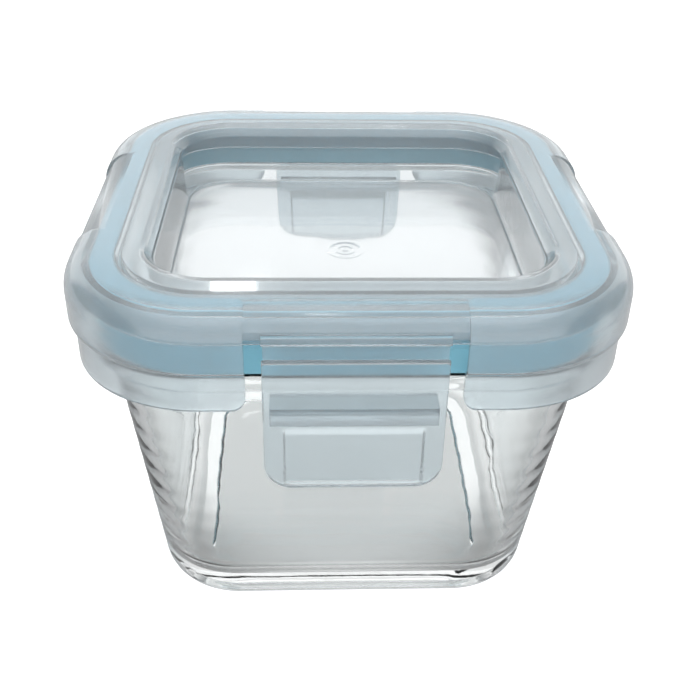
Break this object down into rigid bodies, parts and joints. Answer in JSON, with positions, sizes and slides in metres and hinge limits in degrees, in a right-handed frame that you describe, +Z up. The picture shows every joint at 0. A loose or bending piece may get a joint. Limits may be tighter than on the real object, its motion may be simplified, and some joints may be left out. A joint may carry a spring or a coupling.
{
  "type": "lidded glass canister",
  "caption": "Square clear glass food canister with a milky clear plastic lid, a blue silicone seal ring and hinged latch flaps on its sides.",
  "frame": {"origin": "centre of the base, on the plane the canister stands on", "axes": "+Z up; -Y towards the front latch; +X to the right"},
  "size_m": [0.1216, 0.1216, 0.0898],
  "materials": {
    "bowl_glass": "clear, polished pressed glass with a faint green-grey edge colour",
    "lid_plastic": "milky translucent polypropylene, clear in the sunk middle",
    "seal_silicone": "light blue satin silicone"
  },
  "bodies": {
    "bowl": {"glass_bowl": "bowl_glass"},
    "lid": {"lid_shell": "lid_plastic", "seal_ring": "seal_silicone", "hinge_web_front": "lid_plastic", "hinge_web_right": "lid_plastic", "hinge_web_back": "lid_plastic", "hinge_web_left": "lid_plastic"},
    "latch_front": {"latch_front": "lid_plastic"},
    "latch_right": {"latch_right": "lid_plastic"},
    "latch_back": {"latch_back": "lid_plastic"},
    "latch_left": {"latch_left": "lid_plastic"}
  },
  "joints": [
    {"name": "lid_lift", "type": "slide", "parent": "bowl", "child": "lid", "axis": [0, 0, 1], "range_m": [0, 0.072]},
    {"name": "latch_front_hinge", "type": "hinge", "parent": "lid", "child": "latch_front", "pos_m": [0, -0.0592, 0.0816], "axis": [-1, 0, 0], "range_deg": [0, 115], "deforming": ["hinge_web_front"]},
    {"name": "latch_right_hinge", "type": "hinge", "parent": "lid", "child": "latch_right", "pos_m": [0.0592, 0, 0.0816], "axis": [0, -1, 0], "range_deg": [0, 115], "deforming": ["hinge_web_right"]},
    {"name": "latch_back_hinge", "type": "hinge", "parent": "lid", "child": "latch_back", "pos_m": [0, 0.0592, 0.0816], "axis": [1, 0, 0], "range_deg": [0, 115], "deforming": ["hinge_web_back"]},
    {"name": "latch_left_hinge", "type": "hinge", "parent": "lid", "child": "latch_left", "pos_m": [-0.0592, 0, 0.0816], "axis": [0, 1, 0], "range_deg": [0, 115], "deforming": ["hinge_web_left"]}
  ]
}
